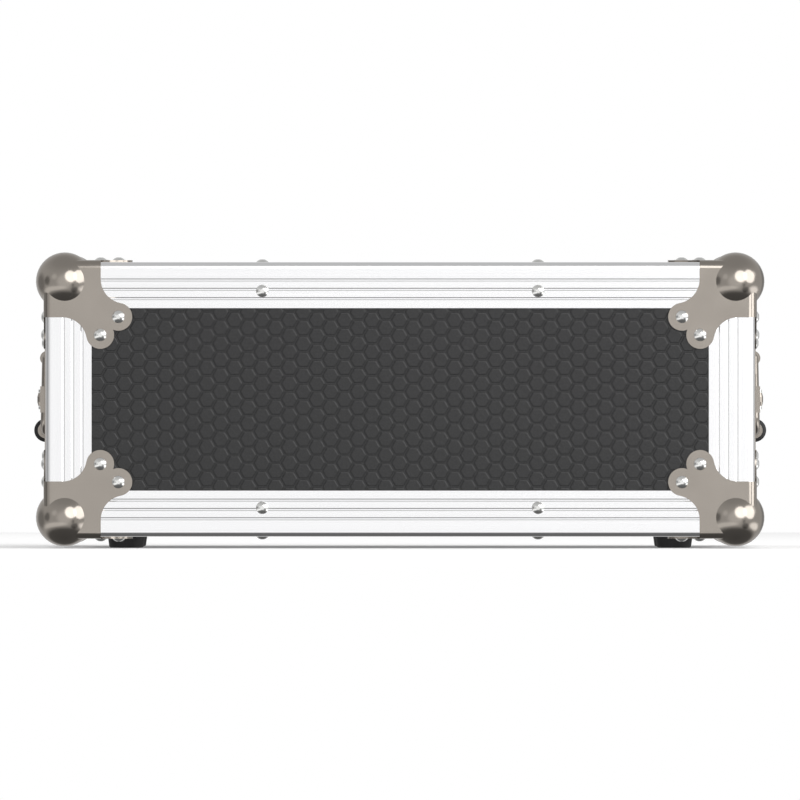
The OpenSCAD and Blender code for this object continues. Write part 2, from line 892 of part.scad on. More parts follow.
// Half section of the wing's barrel, which is thickest in its middle
module barrel_half_section() {
    half = wing_barrel_l / 2;
    full = half - wing_barrel_taper;
    polygon([
        [0, -half], [wing_barrel_end_r, -half], [wing_barrel_r, -full],
        [wing_barrel_r, full], [wing_barrel_end_r, half], [0, half]
    ]);
}
module latch_wing() {
    color(steel)
        translate([0, -hub_in, 0])
            difference() {
                union() {
                    translate([wing_low, 0, 0])
                        bar_x(wing_t) {
                            difference() {
                                circle(wing_span / 2);
                                translate([-wing_start, -wing_span]) square(2 * wing_span);
                                translate([-wing_notch_at, 0]) circle(wing_notch_r);
                            }
                            translate([-wing_start - overrun, -wing_barrel_l / 2])
                                square([wing_start + overrun, wing_barrel_l]);
                        }
                    translate([wing_axis_out, 0, 0])
                        rotate_extrude() barrel_half_section();
                }
                translate([wing_axis_out, 0, -wing_barrel_l / 2 - overrun])
                    cylinder(r = wing_pin_r + bore_fit, h = wing_barrel_l + 2 * overrun);
            }
}
module latch_hook() {
    nose_end = nose_start + hook_nose_t;
    color(steel)
        difference() {
            union() {
                translate([0, 0, -hook_w / 2])
                    linear_extrude(hook_w)
                        polygon([
                            [hook_low, -hook_eye_back], [hook_low, -crank_start],
                            [hook_top - hook_t, -crank_end],
                            [hook_top - hook_t, nose_start], [hook_nose_low, nose_start],
                            [hook_nose_low, nose_end], [hook_top, nose_end],
                            [hook_top, -crank_end - crank_skew],
                            [hook_low_top, -crank_start - crank_skew],
                            [hook_low_top, -hook_eye_back]
                        ]);
                translate([hook_low, -hook_eye_back, 0])
                    rotate([0, 90, 0]) cylinder(r = hook_eye_r, h = hook_t);
            }
            translate([hook_low - overrun, -hook_eye_back, 0])
                bar_x(hook_t + 2 * overrun) {
                    for (s = [-1, 1])
                        translate([0, s * (hook_slot_half - hook_slot_r)]) circle(hook_slot_r);
                    square([2 * hook_slot_r, 2 * (hook_slot_half - hook_slot_r)], center = true);
                }
        }
}

// Handles: X points out of the side, Y along the case, Z is up
module at_handle(side) {
    translate([side * body_w / 2, 0, mid_z])
        mirror([side < 0 ? 1 : 0, 0, 0]) children();
}
// Space of a closed pan with sloping sides
module full_pan(length, height, depth, above) {
    intersection() {
        translate([0, -length / 2, 0])
            bar_y(length)
                polygon([
                    [above, height / 2], [0, height / 2], [-depth, height / 2 - handle_draft],
                    [-depth, handle_draft - height / 2], [0, -height / 2], [above, -height / 2]
                ]);
        translate([0, 0, -height / 2])
            linear_extrude(height)
                polygon([
                    [above, -length / 2], [0, -length / 2], [-depth, handle_draft - length / 2],
                    [-depth, length / 2 - handle_draft], [0, length / 2], [above, length / 2]
                ]);
    }
}
module handle_dish() {
    color(steel)
        difference() {
            union() {
                difference() {
                    union() {
                        translate([-wall, 0, 0])
                            bar_x(wall + dish_t) rounded_plate(handle_l, handle_h, dish_corner_r);
                        full_pan(handle_pan_l + 2 * dish_t, handle_pan_h + 2 * dish_t,
                            handle_depth, dish_t);
                    }
                    full_pan(handle_pan_l, handle_pan_h, handle_floor, dish_t + overrun);
                }
                for (s = [-1, 1])
                    translate([0, s * (ear_start + ear_t / 2) - ear_t / 2, 0])
                        bar_y(ear_t) {
                            translate([pivot_out, pivot_up]) circle(ear_r);
                            translate([-handle_depth + dish_t / 2, pivot_up - ear_r])
                                square([handle_depth + pivot_out - dish_t / 2, 2 * ear_r]);
                        }
            }
            translate([pivot_out, -ear_start - ear_t - overrun, pivot_up])
                rotate([-90, 0, 0])
                    cylinder(r = pivot_r + pivot_fit, h = 2 * (ear_start + ear_t + overrun));
            rotate([0, 90, 0]) bores(all_sleeve_side_rivets);
        }
}
// The bail hangs from its pivot, tilted outwards by the grip's place
module at_pivot() {
    translate([pivot_out, 0, pivot_up])
        rotate([0, -bail_tilt, 0]) children();
}
module bail() {
    collar_at = grip_l / 2 + collar_gap;
    color(bright)
        at_pivot() {
            for (s = [-1, 1]) mirror([0, s < 0 ? 1 : 0, 0]) {
                translate([0, pivot_start, 0])
                    rotate([-90, 0, 0]) cylinder(r = pivot_r, h = bail_half - pivot_start);
                translate([0, bail_half, 0]) sphere(bail_r);
                translate([0, bail_half, bail_bend_r - bail_reach])
                    cylinder(r = bail_r, h = bail_reach - bail_bend_r);
                translate([0, bail_half - bail_bend_r, bail_bend_r - bail_reach])
                    rotate([90, 0, 90])
                        rotate_extrude(angle = -90) translate([bail_bend_r, 0]) circle(bail_r);
                translate([0, collar_at, -bail_reach])
                    rotate([-90, 0, 0]) cylinder(r = collar_r, h = collar_l);
            }
            translate([0, bail_bend_r - bail_half, -bail_reach])
                rotate([-90, 0, 0]) cylinder(r = bail_r, h = 2 * (bail_half - bail_bend_r));
        }
}
module grip() {
    bore = bail_r + grip_bore_fit;
    color(rubber)
        at_pivot()
            translate([0, -grip_l / 2, -bail_reach])
                rotate([-90, 0, 0])
                    rotate_extrude() {
                        translate([bore, 0]) square([grip_r - grip_end_r - bore, grip_l]);
                        translate([bore, grip_end_r])
                            square([grip_r - bore, grip_l - 2 * grip_end_r]);
                        for (z = [grip_end_r, grip_l - grip_end_r])
                            translate([grip_r - grip_end_r, z]) circle(grip_end_r);
                    }
}

// Torsion spring: one wire wound round the Z axis
function spring_centre(i) = let(a = 360 * i / spring_rings)
    [spring_mean_r * cos(a), spring_mean_r * sin(a), spring_pitch * i / spring_rings];
function spring_ring(i) = let(a = 360 * i / spring_rings) [
    for (k = [0 : spring_sides - 1]) let(b = 360 * k / spring_sides)
        spring_centre(i) + spring_wire_r * [cos(b) * cos(a), cos(b) * sin(a), sin(b)]
];
spring_last = spring_turns * spring_rings;
spring_points = [for (i = [0 : spring_last]) each spring_ring(i)];
spring_least_gap = min([
    for (i = [0 : spring_last - spring_rings + 1], j = [i + spring_rings - 1 : spring_last])
        norm(spring_centre(j) - spring_centre(i))
]) - 2 * spring_wire_r;
module spring() {
    n = spring_sides;
    sides = [
        for (i = [0 : spring_last - 1], k = [0 : n - 1]) let(m = (k + 1) % n) each [
            [i * n + k, i * n + m, (i + 1) * n + m],
            [i * n + k, (i + 1) * n + m, (i + 1) * n + k]
        ]
    ];
    start_cap = [for (k = [1 : n - 2]) [0, k + 1, k]];
    last = spring_last * n;
    end_cap = [for (k = [1 : n - 2]) [last, last + k, last + k + 1]];
    polyhedron(spring_points, concat(sides, start_cap, end_cap));
}
module handle_springs() {
    color(steel)
        for (side = [-1, 1])
            at_handle(side)
                for (s = [0, 1])
                    mirror([0, s, 0])
                        translate([pivot_out, spring_start, pivot_up])
                            rotate([-90, 0, 0]) spring();
}

// Panels and extrusions of the sleeve
module sleeve_flat_panel() {
    half_w = body_w / 2 - stop - panel_fit;
    half_d = sleeve_d / 2 - wall - panel_fit;
    color(laminate)
        difference() {
            translate([-half_w, -half_d, body_h / 2 - ply_in])
                cube([2 * half_w, 2 * half_d, ply_t]);
            translate([0, 0, body_h / 2]) {
                bores(sleeve_top_rivets);
                children();
            }
        }
}
module sleeve_side_panel() {
    half_h = body_h / 2 - stop - panel_fit;
    half_d = sleeve_d / 2 - wall - panel_fit;
    notch_l = latch_base_l - base_flange_w + dish_t + cut_fit;
    handle_cut_l = handle_pan_l + 2 * (dish_t + cut_fit);
    handle_cut_h = handle_pan_h + 2 * (dish_t + cut_fit);
    color(laminate)
        difference() {
            translate([body_w / 2 - ply_in, -half_d, -half_h])
                cube([ply_t, 2 * half_d, 2 * half_h]);
            latch_notch(ply_in + overrun, sleeve_d / 2 - notch_l, sleeve_d / 2);
            latch_notch(ply_in + overrun, -sleeve_d / 2, notch_l - sleeve_d / 2);
            translate([body_w / 2 - ply_in - overrun, -handle_cut_l / 2, -handle_cut_h / 2])
                cube([ply_in + 2 * overrun, handle_cut_l, handle_cut_h]);
            translate([body_w / 2, 0, 0])
                rotate([0, 90, 0]) bores(all_sleeve_side_rivets);
            rail_screw_places()
                cylinder(r = screw_r + bore_fit, h = 2 * (screw_grip + overrun), center = true);
        }
}
module sleeve_edge_pair() {
    length = sleeve_d - 2 * sleeve_rim_leg;
    color(aluminium)
        difference() {
            mirrored_x()
                translate([body_w / 2, -length / 2, body_h / 2])
                    mirror([1, 0, 0]) mirror([0, 0, 1]) bar_y(length) edge_profile();
            on_top_and_bottom() bores(sleeve_top_rivets);
            on_both_sides() bores(all_sleeve_side_rivets);
        }
}
module sleeve_rim() {
    color(aluminium)
        difference() {
            translate([0, -sleeve_d / 2, 0]) rim_ring() sleeve_rim_profile();
            on_top_and_bottom() bores(sleeve_top_rivets);
            on_both_sides() bores(all_sleeve_side_rivets);
        }
}
module sleeve_braces() {
    color(steel)
        difference() {
            for (s = [0, 1])
                mirror([0, s, 0])
                    translate([0, -sleeve_d / 2, 0]) four_braces(sleeve_brace_leg, sleeve_brace_l);
            on_top_and_bottom() bores(sleeve_top_rivets);
            on_both_sides() bores(all_sleeve_side_rivets);
        }
}
module sleeve_rivets() {
    color(bright) {
        on_top_and_bottom() rivets(sleeve_top_rivets);
        on_both_sides() rivets(all_sleeve_side_rivets);
    }
}

// Rack rail at the front right of the sleeve: a flange with the rack holes and a side leg
module rack_rail() {
    face_y = rail_set - sleeve_d / 2;
    color(aluminium)
        difference() {
            union() {
                translate([rail_x, face_y, -rail_half])
                    cube([rail_outer_x - rail_x, rail_t, 2 * rail_half]);
                translate([rail_outer_x - rail_t, face_y, -rail_leg_half])
                    cube([rail_t, rail_leg, 2 * rail_leg_half]);
            }
            mirrored_z()
                translate([body_w / 2 - stop - cut_fit, face_y - overrun, rail_leg_half])
                    cube([stop, rail_leg + 2 * overrun, body_h]);
            for (u = [0 : rack_units - 1], z = rack_rows)
                translate([rack_hole_spacing / 2, face_y - overrun,
                           (u - rack_units / 2) * rack_unit + z])
                    rotate([-90, 0, 0]) cylinder(r = rack_hole_r, h = rail_t + 2 * overrun);
            rail_screw_places()
                cylinder(r = screw_r + bore_fit, h = 2 * (rail_t + overrun), center = true);
        }
}
// Screws of the two rails on the right: Z points out of the side, from the panel's inner face
module rail_screw_places() {
    for (s = [-1, 1], t = [-1, 1], z = rail_screw_z)
        translate([rail_outer_x, s * (sleeve_d / 2 - rail_set - rail_screw_in), t * z])
            rotate([0, 90, 0]) children();
}
module rail_screws() {
    color(bright)
        mirrored_x()
            rail_screw_places() {
                translate([0, 0, -rail_t]) cylinder(r = screw_r, h = rail_t + screw_grip);
                difference() {
                    translate([0, 0, -rail_t - screw_head_h])
                        cylinder(r = screw_head_r, h = screw_head_h);
                    for (a = [0, 90])
                        rotate(a)
                            translate([-screw_head_r / 2, -screw_slot_w / 2,
                                       -rail_t - screw_head_h - overrun])
                                cube([screw_head_r, screw_slot_w, screw_slot_h + overrun]);
                }
            }
}

// Feet: Z points down out of the bottom panel's outer face
module foot_places() {
    for (s = [-1, 1], t = [-1, 1])
        translate([s * foot_x, t * foot_y, foot_drop + wall])
            mirror([0, 0, 1]) children();
}
module foot() {
    height = foot_drop + wall;
    difference() {
        rotate_extrude()
            intersection() {
                union() {
                    polygon([
                        [0, 0], [foot_r, 0], [foot_tip_r, height - foot_edge_r],
                        [foot_tip_r - foot_edge_r, height], [0, height]
                    ]);
                    translate([foot_tip_r - foot_edge_r, height - foot_edge_r]) circle(foot_edge_r);
                }
                square([foot_r, height]);
            }
        translate([0, 0, -overrun]) cylinder(r = foot_bore_r, h = height + 2 * overrun);
        translate([0, 0, height - foot_well_h]) cylinder(r = foot_well_r, h = height);
    }
}
module feet() {
    color(rubber) foot_places() foot();
}
module foot_screws() {
    seat = foot_drop + wall - foot_well_h;
    color(bright)
        foot_places() {
            translate([0, 0, -foot_screw_grip])
                cylinder(r = foot_screw_r, h = foot_screw_grip + seat);
            difference() {
                translate([0, 0, seat]) cylinder(r = foot_screw_head_r, h = foot_screw_head_h);
                for (a = [0, 90])
                    rotate(a)
                        translate([-foot_screw_head_r / 2, -screw_slot_w / 2,
                                   seat + foot_screw_head_h - screw_slot_h])
                            cube([foot_screw_head_r, screw_slot_w, foot_screw_head_h]);
            }
        }
}

at_sleeve() sleeve_flat_panel();  // sleeve_top_panel
at_sleeve() mirror([0, 0, 1]) sleeve_flat_panel()  // sleeve_bottom_panel
        for (s = [-1, 1], t = [-1, 1])
            translate([s * foot_x, t * foot_y, -wall - foot_screw_grip - overrun])
                cylinder(r = foot_screw_r + bore_fit, h = foot_screw_grip + 2 * overrun);
at_sleeve() mirror([1, 0, 0]) sleeve_side_panel();  // sleeve_left_panel
at_sleeve() sleeve_side_panel();  // sleeve_right_panel
at_sleeve() sleeve_edge_pair();  // sleeve_upper_edges
at_sleeve() mirror([0, 0, 1]) sleeve_edge_pair();  // sleeve_lower_edges
at_sleeve() sleeve_rim();  // sleeve_front_rim
at_sleeve() mirror([0, 1, 0]) sleeve_rim();  // sleeve_rear_rim
at_sleeve() sleeve_braces();
at_sleeve() sleeve_rivets();

at_sleeve() mirror([1, 0, 0]) rack_rail();  // front_left_rail
at_sleeve() rack_rail();  // front_right_rail
at_sleeve() mirror([0, 1, 0]) mirror([1, 0, 0]) rack_rail();  // rear_left_rail
at_sleeve() mirror([0, 1, 0]) rack_rail();  // rear_right_rail
at_sleeve() rail_screws();
feet();
foot_screws();

at_handle(-1) handle_dish();  // left_handle_dish
at_handle(1) handle_dish();  // right_handle_dish
at_handle(-1) bail();  // left_bail
at_handle(1) bail();  // right_bail
at_handle(-1) grip();  // left_grip
at_handle(1) grip();  // right_grip
union() {
    echo(least_gap_between_spring_turns = spring_least_gap);
    handle_springs();
}

at_latch(-1, -1) latch_base();  // front_left_base
at_latch(1, -1) latch_base();  // front_right_base
at_latch(-1, 1) latch_base();  // rear_left_base
at_latch(1, 1) latch_base();  // rear_right_base
at_latch(-1, -1) latch_hook();  // front_left_hook
at_latch(1, -1) latch_hook();  // front_right_hook
at_latch(-1, 1) latch_hook();  // rear_left_hook
at_latch(1, 1) latch_hook();  // rear_right_hook
at_latch(-1, -1) latch_rotor();  // front_left_rotor
at_latch(1, -1) latch_rotor();  // front_right_rotor
at_latch(-1, 1) latch_rotor();  // rear_left_rotor
at_latch(1, 1) latch_rotor();  // rear_right_rotor
at_latch(-1, -1) latch_wing();  // front_left_wing
at_latch(1, -1) latch_wing();  // front_right_wing
at_latch(-1, 1) latch_wing();  // rear_left_wing
at_latch(1, 1) latch_wing();  // rear_right_wing

at_lid(-1) lid_panel();  // front_lid_panel
at_lid(-1) lid_walls();  // front_lid_walls
at_lid(-1) lid_face_edges();  // front_lid_face_edges
at_lid(-1) lid_side_edges();  // front_lid_side_edges
at_lid(-1) lid_rim();  // front_lid_rim
at_lid(-1) lid_corners();  // front_lid_corners
at_lid(-1) lid_braces();  // front_lid_braces
at_lid(-1) lid_keepers();  // front_lid_keepers
at_lid(-1) lid_rivets();  // front_lid_rivets
at_lid(1) lid_panel();  // rear_lid_panel
at_lid(1) lid_walls();  // rear_lid_walls
at_lid(1) lid_face_edges();  // rear_lid_face_edges
at_lid(1) lid_side_edges();  // rear_lid_side_edges
at_lid(1) lid_rim();  // rear_lid_rim
at_lid(1) lid_corners();  // rear_lid_corners
at_lid(1) lid_braces();  // rear_lid_braces
at_lid(1) lid_keepers();  // rear_lid_keepers
at_lid(1) lid_rivets();  // rear_lid_rivets
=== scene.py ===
import math

import bpy
from mathutils import Matrix, Vector
from mathutils.geometry import delaunay_2d_cdt


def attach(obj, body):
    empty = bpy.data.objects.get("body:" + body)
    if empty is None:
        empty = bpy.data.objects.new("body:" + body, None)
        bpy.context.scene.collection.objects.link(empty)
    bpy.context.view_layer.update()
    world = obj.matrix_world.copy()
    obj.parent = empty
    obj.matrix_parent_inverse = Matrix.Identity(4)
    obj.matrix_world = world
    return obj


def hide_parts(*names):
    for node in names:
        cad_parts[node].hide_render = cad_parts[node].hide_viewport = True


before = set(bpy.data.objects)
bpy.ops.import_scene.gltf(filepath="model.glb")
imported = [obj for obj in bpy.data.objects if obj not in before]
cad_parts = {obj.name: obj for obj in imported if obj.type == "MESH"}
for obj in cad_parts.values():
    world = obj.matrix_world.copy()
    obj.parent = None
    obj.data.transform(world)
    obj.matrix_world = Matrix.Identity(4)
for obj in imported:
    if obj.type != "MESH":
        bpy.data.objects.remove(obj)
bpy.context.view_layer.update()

# The boards of the case: 9.5 mm birch plywood, pressed between films. The outer film is black
# and embossed with a honeycomb, the inner one is smooth. The boards slide into the channels
# of the extrusions, which cover their edges, and rivets hold them there.


def linear(colour):
    """Turns an sRGB hex colour into the linear values that a socket holds."""
    parts = [int(colour[i:i + 2], 16) / 255 for i in (1, 3, 5)]
    return [c / 12.92 if c <= 0.04045 else ((c + 0.055) / 1.055) ** 2.4 for c in parts] + [1]


def add_node(tree, kind, settings={}, links={}):
    """Adds a node, sets its properties and sockets, and links its inputs."""
    node = tree.nodes.new(kind)
    for name, value in settings.items():
        if isinstance(name, str) and hasattr(node, name):
            setattr(node, name, value)
        else:
            node.inputs[name].default_value = value
    for name, socket in links.items():
        tree.links.new(node.inputs[name], socket)
    return node


def finish_of(name, colour, roughness, metallic=0.0):
    """Starts a material: its node tree and its surface shader."""
    material = bpy.data.materials.new(name)
    material.use_nodes = True
    tree = material.node_tree
    surface = tree.nodes["Principled BSDF"]
    surface.inputs["Base Color"].default_value = linear(colour)
    surface.inputs["Roughness"].default_value = roughness
    surface.inputs["Metallic"].default_value = metallic
    return material, tree, surface


# Black embossed film: a half-gloss lacquer over paper, with a grain of about 0.4 mm that is
# drawn 0.8 mm coarse so that it shows, and clouds of about 110 mm from the press. The rims
# of the pads catch the light.
embossed_film, tree, surface = finish_of("embossed black film", "#171718", 0.25)
surface.inputs["IOR"].default_value = 1.5
place = add_node(tree, "ShaderNodeTexCoord")
grain = add_node(tree, "ShaderNodeTexNoise", {"Scale": 1250, "Detail": 2},
                 {"Vector": place.outputs["Object"]})
clouding = add_node(tree, "ShaderNodeTexNoise", {"Scale": 9, "Detail": 3},
                    {"Vector": place.outputs["Object"]})
shade = add_node(tree, "ShaderNodeMix",
                 {"data_type": "RGBA", 6: linear("#141415"), 7: linear("#1a1a1b")},
                 {0: clouding.outputs["Fac"]})
sheen = add_node(tree, "ShaderNodeMapRange", {"To Min": 0.21, "To Max": 0.29},
                 {"Value": grain.outputs["Fac"]})
relief = add_node(tree, "ShaderNodeBump", {"Strength": 0.2, "Distance": 0.00004},
                  {"Height": grain.outputs["Fac"]})
tree.links.new(surface.inputs["Base Color"], shade.outputs[2])
tree.links.new(surface.inputs["Roughness"], sheen.outputs[0])
tree.links.new(surface.inputs["Normal"], relief.outputs[0])

# Smooth brown-black phenolic film of the inner faces, with the faint grain of the birch
# under it, in streaks of about 6 by 80 mm.
inner_film, tree, surface = finish_of("smooth phenolic film", "#2d2622", 0.5)
place = add_node(tree, "ShaderNodeTexCoord")
stretch = add_node(tree, "ShaderNodeMapping", {"Scale": (12, 160, 160)},
                   {"Vector": place.outputs["Object"]})
wood = add_node(tree, "ShaderNodeTexNoise", {"Scale": 1, "Detail": 4},
                {"Vector": stretch.outputs[0]})
shade = add_node(tree, "ShaderNodeMix",
                 {"data_type": "RGBA", 6: linear("#28211d"), 7: linear("#3a312b")},
                 {0: wood.outputs["Fac"]})
relief = add_node(tree, "ShaderNodeBump", {"Strength": 0.2, "Distance": 0.0001},
                  {"Height": wood.outputs["Fac"]})
tree.links.new(surface.inputs["Base Color"], shade.outputs[2])
tree.links.new(surface.inputs["Normal"], relief.outputs[0])

# Sizes of the boards are in millimetres. The honeycomb's pads stand up from the film, each
# with a steep foot, a rounded edge and a flat top.
MM = 0.001
case_width = 540
case_height = 209
case_middle = 113.5
half_width = case_width / 2
half_height = case_height / 2
board_thickness = 9.5
board_depth = 1.5
board_fit = 0.2
board_stop = 12.7
honeycomb_pitch = 12.106
honeycomb_column = 10.470
honeycomb_shift = (9.95, -6.06)
pad_top = 4.65
pad_edge = 5.15
pad_foot = 5.45
pad_margin = 0.8
pad_edge_drop = 0.1
pad_height = 0.5


def rectangle(left, low, right, high):
    return [(left, low), (right, low), (right, high), (left, high)]


def hexagon(centre, apothem):
    """Corners of a cell that is flat at its top and bottom."""
    reach = apothem * 2 / math.sqrt(3)
    return [(centre[0] + reach * math.cos(math.radians(60 * k)),
             centre[1] + reach * math.sin(math.radians(60 * k))) for k in range(6)]


def encloses(loop, point):
    """True where the point lies inside the loop."""
    inside = False
    for (x0, y0), (x1, y1) in zip(loop, loop[1:] + loop[:1]):
        if (y0 > point[1]) != (y1 > point[1]):
            if point[0] < x0 + (point[1] - y0) * (x1 - x0) / (y1 - y0):
                inside = not inside
    return inside


def in_cut(points, triangle, cuts):
    """True where the middle of the triangle lies in one of the cut-outs."""
    middle = [sum(points[k][axis] for k in triangle) / 3 for axis in (0, 1)]
    return any(encloses(cut, middle) for cut in cuts)


def honeycomb_cells(outline, cuts):
    """Centres of the pads that lie clear of the board's edges and cut-outs."""
    span = int(2 * case_width / honeycomb_column)
    cells = []
    for i in range(-span, span):
        for j in range(-span, span):
            centre = (honeycomb_shift[0] + i * honeycomb_column,
                      honeycomb_shift[1] + (j + i % 2 / 2) * honeycomb_pitch)
            if abs(centre[0]) > case_width or abs(centre[1]) > case_width:
                continue
            if all(encloses(outline, p) and not any(encloses(cut, p) for cut in cuts)
                   for p in hexagon(centre, pad_foot + pad_margin)):
                cells.append(centre)
    return cells


def flat_region(loops):
    """Triangles between closed loops, as the points and the triples of their indices."""
    only_inside = 1
    weld_distance = 1e-5
    points, edges = [], []
    for loop in loops:
        start = len(points)
        points += [Vector(p) for p in loop]
        edges += [(start + k, start + (k + 1) % len(loop)) for k in range(len(loop))]
    _, _, triangles, origins, _, _ = delaunay_2d_cdt(
        points, edges, [], only_inside, weld_distance)
    names = [min(o) if o else -1 for o in origins]
    return points, [[names[i] for i in t] for t in triangles]


def board(pose, outline, cuts):
    """A board as points, faces and the film of each face: its slot among the materials."""
    embossed, smooth = 0, 1
    cells = honeycomb_cells(outline, cuts)
    borders = [outline] + cuts
    border_size = sum(len(loop) for loop in borders)

    # The sunk film between the pads
    points, triangles = flat_region(borders + [hexagon(centre, pad_foot) for centre in cells])
    low = -board_depth - pad_height
    verts = [pose @ Vector((x, y, low)) for x, y in points]
    faces = []
    for t in triangles:
        owners = {(k - border_size) // 6 if k >= border_size else -1 for k in t}
        under_pad = len(owners) == 1 and -1 not in owners
        if not under_pad and not in_cut(points, t, cuts):
            faces.append(t)

    # Each pad: its foot, its rounded edge and its top
    high = low + pad_height
    for n, centre in enumerate(cells):
        ring = border_size + 6 * n
        for apothem, level in ((pad_edge, high - pad_edge_drop), (pad_top, high)):
            start = len(verts)
            verts += [pose @ Vector((x, y, level)) for x, y in hexagon(centre, apothem)]
            for k in range(6):
                m = (k + 1) % 6
                faces.append([ring + k, ring + m, start + m, start + k])
            ring = start
        faces.append([ring + k for k in range(6)])
    films = [embossed] * len(faces)

    # The inner face and the edges
    back = -board_depth - board_thickness
    points, triangles = flat_region(borders)
    start = len(verts)
    verts += [pose @ Vector((x, y, back)) for x, y in points]
    faces += [[start + k for k in reversed(t)] for t in triangles
              if not in_cut(points, t, cuts)]
    first = 0
    for number, loop in enumerate(borders):
        for k in range(len(loop)):
            a, b = first + k, first + (k + 1) % len(loop)
            side = [start + a, start + b, b, a]
            faces.append(side if number == 0 else side[::-1])
        first += len(loop)
    films += [smooth] * (len(faces) - len(films))
    return verts, faces, films


def add_boards(name, body, boards):
    """One piece from its boards, standing for the CAD node of the same name."""
    verts, faces, films = [], [], []
    for more_verts, more_faces, more_films in boards:
        faces += [[len(verts) + k for k in face] for face in more_faces]
        verts += more_verts
        films += more_films
    mesh = bpy.data.meshes.new(name)
    mesh.from_pydata([v * MM for v in verts], [], faces)
    mesh.materials.append(embossed_film)
    mesh.materials.append(inner_film)
    mesh.polygons.foreach_set("material_index", films)
    mesh.update()
    piece = bpy.data.objects.new(name + "_boards", mesh)
    bpy.context.scene.collection.objects.link(piece)
    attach(piece, body)
    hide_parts(name)


def pose_of(across, up, out, reach):
    """Where a board's plan lies: its two directions, its outward one, and how far out it is."""
    pose = Matrix((across, up, out)).transposed().to_4x4()
    pose.translation = Vector((0, 0, case_middle)) + Vector(out) * reach
    return pose


# The sleeve's boards: top and bottom are plain, and the sides are cut out for the handle dish
# and at both ends for the latch dishes.
sleeve_depth = 350
across_half = half_width - board_stop
upright_half = half_height - board_stop
along_half = sleeve_depth / 2 - board_depth - board_fit
top_pose = pose_of((1, 0, 0), (0, 1, 0), (0, 0, 1), half_height)
bottom_pose = pose_of((1, 0, 0), (0, -1, 0), (0, 0, -1), half_height)
right_pose = pose_of((0, 1, 0), (0, 0, 1), (1, 0, 0), half_width)
left_pose = pose_of((0, -1, 0), (0, 0, 1), (-1, 0, 0), half_width)

flat_outline = rectangle(-across_half, -along_half, across_half, along_half)
add_boards("sleeve_top_panel", "sleeve", [board(top_pose, flat_outline, [])])
add_boards("sleeve_bottom_panel", "sleeve", [board(bottom_pose, flat_outline, [])])

latch_cut_half = 37.5
latch_cut_length = 59.5
notch = sleeve_depth / 2 - latch_cut_length
side_outline = [
    (-along_half, -upright_half), (along_half, -upright_half),
    (along_half, -latch_cut_half), (notch, -latch_cut_half),
    (notch, latch_cut_half), (along_half, latch_cut_half),
    (along_half, upright_half), (-along_half, upright_half),
    (-along_half, latch_cut_half), (-notch, latch_cut_half),
    (-notch, -latch_cut_half), (-along_half, -latch_cut_half),
]
handle_cut = (71.5, 45.5)
handle_hole = rectangle(-handle_cut[0], -handle_cut[1], handle_cut[0], handle_cut[1])
add_boards("sleeve_left_panel", "sleeve", [board(left_pose, side_outline, [handle_hole])])
add_boards("sleeve_right_panel", "sleeve", [board(right_pose, side_outline, [handle_hole])])

# Each lid has a face board and four wall boards, the side ones notched for the keeper dishes.
# The walls start behind the rim's slot and end at the face extrusions.
lids = ("front_lid", "rear_lid")
lid_start = 175.3
lid_depth = 95
rim_channel = 7
keeper_cut_length = 34.5
face_outline = rectangle(-across_half, -upright_half, across_half, upright_half)
wall_start = lid_start + rim_channel
wall_end = lid_start + lid_depth - board_stop
keeper_end = lid_start + keeper_cut_length
for lid, end in zip(lids, (-1, 1)):
    face_pose = pose_of((-end, 0, 0), (0, 0, 1), (0, end, 0), lid_start + lid_depth)
    add_boards(lid + "_panel", lid, [board(face_pose, face_outline, [])])
    near, far = sorted((end * wall_start, end * wall_end))
    walls = [
        board(top_pose, rectangle(-across_half, near, across_half, far), []),
        board(bottom_pose, rectangle(-across_half, -far, across_half, -near), []),
    ]
    for pose, way in ((right_pose, end), (left_pose, -end)):
        outline = [
            (way * wall_start, -upright_half), (way * wall_end, -upright_half),
            (way * wall_end, upright_half), (way * wall_start, upright_half),
            (way * wall_start, latch_cut_half), (way * keeper_end, latch_cut_half),
            (way * keeper_end, -latch_cut_half), (way * wall_start, -latch_cut_half),
        ]
        walls.append(board(pose, outline if way > 0 else outline[::-1], []))
    add_boards(lid + "_walls", lid, walls)

# Aluminium extrusions round every edge, with three fine grooves in each outer face. They are
# drawn through a die, which leaves faint lines along each bar, and clear anodised, which
# gives an even, silvery white satin. They are mitred at the corners and riveted.


def dress(names, material):
    """Gives CAD nodes a material."""
    for name in names:
        for material_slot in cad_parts[name].material_slots:
            material_slot.material = material


